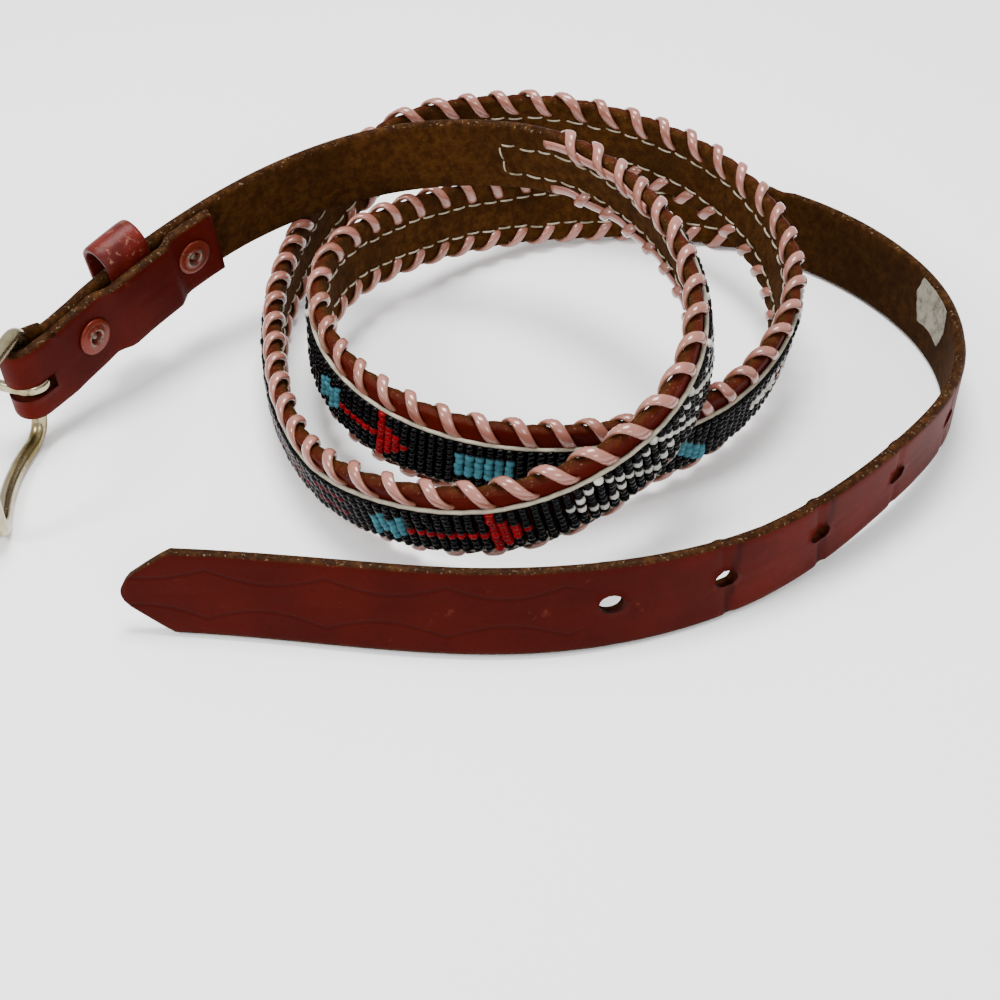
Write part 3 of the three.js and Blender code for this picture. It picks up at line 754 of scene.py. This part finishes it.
def stitch_runs():
    """Short cords that rise out of the flesh side and dip back, in two rows with a closed end."""
    chance = np.random.default_rng(3)
    pitch = 4.9
    starts = np.arange(158.0, 919, pitch)
    rows = [np.full(len(starts), 13.0), np.full(len(starts), 5.0)]
    s0 = np.concatenate([starts, starts, [157.2, 157.4]])
    v0 = np.concatenate([*rows, [12.6, 8.7]])
    s1 = np.concatenate([starts + 3.7, starts + 3.7, [157.4, 157.2]])
    v1 = np.concatenate([*rows, [9.2, 5.4]])
    wander = chance.normal(0, 0.16, len(s0))
    v0 = v0 + wander
    v1 = v1 + wander + chance.normal(0, 0.18, len(s0))
    t = np.linspace(0, 1, 6)[None]
    s = s0[:, None] + (s1 - s0)[:, None] * t
    v = v0[:, None] + (v1 - v0)[:, None] * t
    w = -1.18 - 0.42 * np.sin(np.pi * t) ** 0.5 + 0 * s
    origin, along, up, out = strap_frames(s)
    path = origin + up * v[..., None] + out * w[..., None]
    tangent = unit(np.gradient(path, axis=1))
    across = unit(np.cross(tangent, -out))
    outline = rounded_outline(0.25, 0.22, 6)
    rings = path[:, :, None] + across[:, :, None] * outline[:, :1] - out[:, :, None] * outline[:, 1:]
    one = [grid_faces(6, 6), np.stack([np.arange(6)[::-1], 30 + np.arange(6)])]
    one = turned_out(rings[0].reshape(-1, 3), one)
    step = np.arange(len(rings))[:, None, None] * 36
    faces = [(step + group[None]).reshape(-1, group.shape[1]) for group in one]
    return {"points": rings.reshape(-1, 3), "faces": faces}


# Buckle, keeper and rivets

BAR_FOOT = on_strap(BAR_STATION, 0, BAR_OFFSET)
PRONG_MIDDLE = BAR_FOOT[2] + 7.6


def level(degrees):
    """Level unit vector that many degrees round from +x."""
    return np.array([np.cos(radians(degrees)), np.sin(radians(degrees)), 0.0])


def rounded_loop(corners, per_corner, count):
    """Even points round quarter circles (x, y, radius, start in degrees) and the lines between them."""
    arcs = []
    for x, y, radius, start in corners:
        turn = np.radians(start + np.linspace(0, 90, per_corner))
        arcs.append(np.stack([x + radius * np.cos(turn), y + radius * np.sin(turn)], -1))
    closed = np.concatenate([*arcs, arcs[0][:1]])
    length = np.concatenate([[0], np.cumsum(np.hypot(*np.diff(closed, axis=0).T))])
    t = np.arange(0, count) / count * length[-1]
    return np.interp(t, length, closed[:, 0]), np.interp(t, length, closed[:, 1])


def wire_frame():
    """Round wire along a rounded rectangle that bows as half a sine over its reach."""
    low = 1.8
    high = low + 3.6 + 25
    reach = 38
    corners = ((5.5, low + 5.5, 5.5, 180), (reach - 7, low + 7, 7, 270),
               (reach - 7, high - 7, 7, 0), (3.2, high - 3.2, 3.2, 90))
    x, z = rounded_loop(corners, 13, 140)
    arm = level(270)
    side = level(180)
    bow = 3 * np.sin(np.pi * x / reach)
    path = BAR_FOOT * [1, 1, 0] + arm * x[:, None] + side * bow[:, None]
    path[:, 2] = z + MODEL_SHIFT[2]
    normal = np.broadcast_to(side, path.shape)
    return swept(path, normal, rounded_outline(1.8, 1.8, 18), closed=True)


def wire_prong():
    """A straight tongue and an open curl of 280 degrees about the bar, thinning at both ends."""
    curl = 1.8 + 0.9 + 1
    tongue = level(160)
    axis = np.array([BAR_FOOT[0], BAR_FOOT[1], PRONG_MIDDLE])
    t = np.linspace(41, 0, 28)
    turn = np.radians(250 + np.linspace(0, 280, 50)[1:])
    straight = axis + level(250) * curl + tongue * t[:, None]
    around = np.stack([np.cos(turn), np.sin(turn), 0 * turn], -1)
    path = np.concatenate([straight, axis + around * curl])
    normal = np.concatenate([np.broadcast_to(level(250), straight.shape), around])
    share = np.linspace(0, 1, len(path))
    size = np.minimum(1, np.minimum(0.45 + share * 12, 0.7 + (1 - share) * 10))
    outline = rounded_outline(1.3, 1.0, 16, 2.8) * size[:, None, None]
    return swept(path, normal, outline)


def keeper_form():
    """A band with rounded rims, carried round a rounded rectangle with wider corners at its top."""
    left, right, low, top = -1.75, 4.6, -1.09, 23.7
    radius = 2.45
    crown = 4.1
    half = 0.75
    corners = (
        (right + half - radius, low - half + radius, radius, -90),
        (right + half - crown, top + half - crown, crown, 0),
        (left - half + crown, top + half - crown, crown, 90),
        (left - half + radius, low - half + radius, radius, 180))
    w, v = rounded_loop(corners, 9, 90)
    origin, along, up, out = strap_frames(KEEPER_STATION)
    path = origin + out * w[:, None] + up * v[:, None]
    centre = origin + out * (left + right) / 2 + up * np.clip(v, low + 3, top - 3)[:, None]
    tangent = unit(np.roll(path, -1, 0) - np.roll(path, 1, 0))
    normal = np.cross(tangent, np.broadcast_to(along, tangent.shape))
    normal *= np.sign((normal * (path - centre)).sum(-1))[:, None]
    return swept(path, normal, rounded_outline(KEEPER_BREADTH / 2, half, 20, 5), closed=True)


def rivet_form(station):
    """A turned profile: a ring head with a cup and centre stud, a post, and a low cap on the grain side."""
    seat = turnback_offset(np.array(station)) - HALF_LEATHER - 0.1
    cap = HALF_LEATHER + 0.1
    radius = np.array([0, 0.45, 0.75, 0.95, 1.3, 1.45, 1.6, 1.9, 2.25, 2.4, 3.3, 4.2, 4.45, 4.4, 2.0,
                       2.0, 3.9, 4.0, 3.8, 3.2, 2.2, 1.1, 0])
    height = np.array([0.45, 0.4, 0.2, -0.2, -0.2, 0.2, 0.85, 1.0, 0.9, 0.62, 0.66, 0.6, 0.35, 0, 0])
    w = np.concatenate([seat - height, cap + np.array([0, 0, 0.3, 0.55, 0.75, 0.9, 0.98, 1.0])])
    radius[[0, -1]] = 0.02
    turn = np.arange(40) * np.pi / 20
    origin, along, up, out = strap_frames(station)
    centre = origin + up * HOLE_MIDDLE
    rings = centre + out * w[:, None, None] + radius[:, None, None] * (
        along * np.cos(turn)[None, :, None] + up * np.sin(turn)[None, :, None])
    wear = np.exp(-((radius - 1.9) / 0.5) ** 2)[:, None, None] * np.ones((1, 40, 3))
    wear[:4] = 1
    return carried(rings, wear=wear)


# Paper's corners on the strap, as pairs of s and v.
PAPER_CORNERS = np.array([
    [971.5, 18.2], [979, 18.5], [986.5, 18.3], [988.2, 13.2],
    [985.2, 7.0], [979, 7.7], [973.2, 6.8], [970, 13.2]])


def paper_form():
    """A torn paper lying on the flesh side: its rim runs straight from corner to corner, a little ragged."""
    along = np.arange(64) / 8
    corners = np.concatenate([PAPER_CORNERS, PAPER_CORNERS[:1]])
    rim = np.stack([np.interp(along, np.arange(9), corners[:, k]) for k in (0, 1)], -1)
    middle = PAPER_CORNERS.mean(0)
    rim = middle + (rim - middle) * (1 + 0.012 * np.sin(along * 9) + 0.012 * np.sin(along * 23))[:, None]
    share = np.array([0.01, 0.35, 0.7, 0.95, 1, 1, 0.95, 0.7, 0.35, 0.01])[:, None]
    lift = np.array([0.12, 0.13, 0.14, 0.17, 0.19, 0.11, 0.08, 0.05, 0.04, 0.03])[:, None]
    s = middle[0] + share * (rim[:, 0] - middle[0])
    v = middle[1] + share * (rim[:, 1] - middle[1])
    w = -HALF_LEATHER - lift - 0.05 * share * np.sin(along * 2.4)
    return carried(on_strap(s, v, w))


# Assembly

leather = strap_leather()
vinyl = pink_vinyl()
wire = worn_wire()
add_piece("strap_leather", strap_form(), leather, "belt", ["strap"])
add_piece("bead_field", bead_field(), glass_beads(), "belt", ["beadwork_band"])
upper_lace = fused([whip_lace(True), running_lace(171, 206, 16.2, 0.3)])
lower_lace = fused([whip_lace(False), running_lace(170, 226, 2.6, 0.5)])
add_piece("upper_lacing", upper_lace, vinyl, "belt")
add_piece("lower_lacing", lower_lace, vinyl, "belt")
add_piece("stitching", stitch_runs(), pale_thread(), "belt")
add_piece("paper_sticker", paper_form(), bare_paper(), "belt")
add_piece("buckle_wire", wire_frame(), wire, "frame", ["buckle_frame"])
add_piece("prong_wire", wire_prong(), wire, "prong", ["buckle_prong"])
add_piece("keeper_band", keeper_form(), keeper_leather(), "belt", ["keeper_loop"])
lacquer = rivet_metal()
for number, station in enumerate(RIVETS, 1):
    replaced = [f"snap_rivet_{number}"]
    add_piece(f"rivet_{number}", rivet_form(station), lacquer, "belt", replaced)


# Studio

def pale_floor():
    """A flat white square that the belt rests on."""
    corners = np.array([[-1, -1], [1, -1], [1, 1], [-1, 1]]) * 3.0
    mesh = bpy.data.meshes.new("floor")
    mesh.from_pydata([(x, y, 0.0) for x, y in corners.tolist()], [], [(0, 1, 2, 3)])
    mesh.materials.append(studio_white())
    floor = bpy.data.objects.new("floor", mesh)
    bpy.context.scene.collection.objects.link(floor)


def soft_light(name, place, target, size, watts):
    """A square softbox that faces its target."""
    data = bpy.data.lights.new(name, "AREA")
    data.size = size
    data.energy = watts
    lamp = bpy.data.objects.new(name, data)
    bpy.context.scene.collection.objects.link(lamp)
    away = np.array(place) - np.array(target)
    yaw = np.arctan2(away[0], -away[1])
    pitch = np.arctan2(np.hypot(away[0], away[1]), away[2])
    lamp.rotation_euler = (float(pitch), 0, float(yaw))
    lamp.location = place


pale_floor()
soft_light("overhead softbox", (0.0, 0.1, 0.7), (0, 0, 0), 0.3, 8.0)
soft_light("left softbox", (-0.5, -0.35, 0.5), (0, 0, 0), 0.2, 4.0)
soft_light("front softbox", (0.3, -0.7, 0.45), (0, 0, 0), 0.3, 2.5)

world = bpy.data.worlds.new("studio")
bpy.context.scene.world = world
world.use_nodes = True
world.node_tree.nodes["Background"].inputs["Color"].default_value = (1, 1, 1, 1)
world.node_tree.nodes["Background"].inputs["Strength"].default_value = 1.0

camera_data = bpy.data.cameras.new("camera")
camera_data.lens = 55.29
camera_data.sensor_width = 36
camera_data.clip_start = 0.01
camera = bpy.data.objects.new("camera", camera_data)
camera.location = (0.01879, -0.29153, 0.22482)
camera.rotation_euler = (radians(48.72), 0, 0)
bpy.context.scene.collection.objects.link(camera)
bpy.context.scene.camera = camera
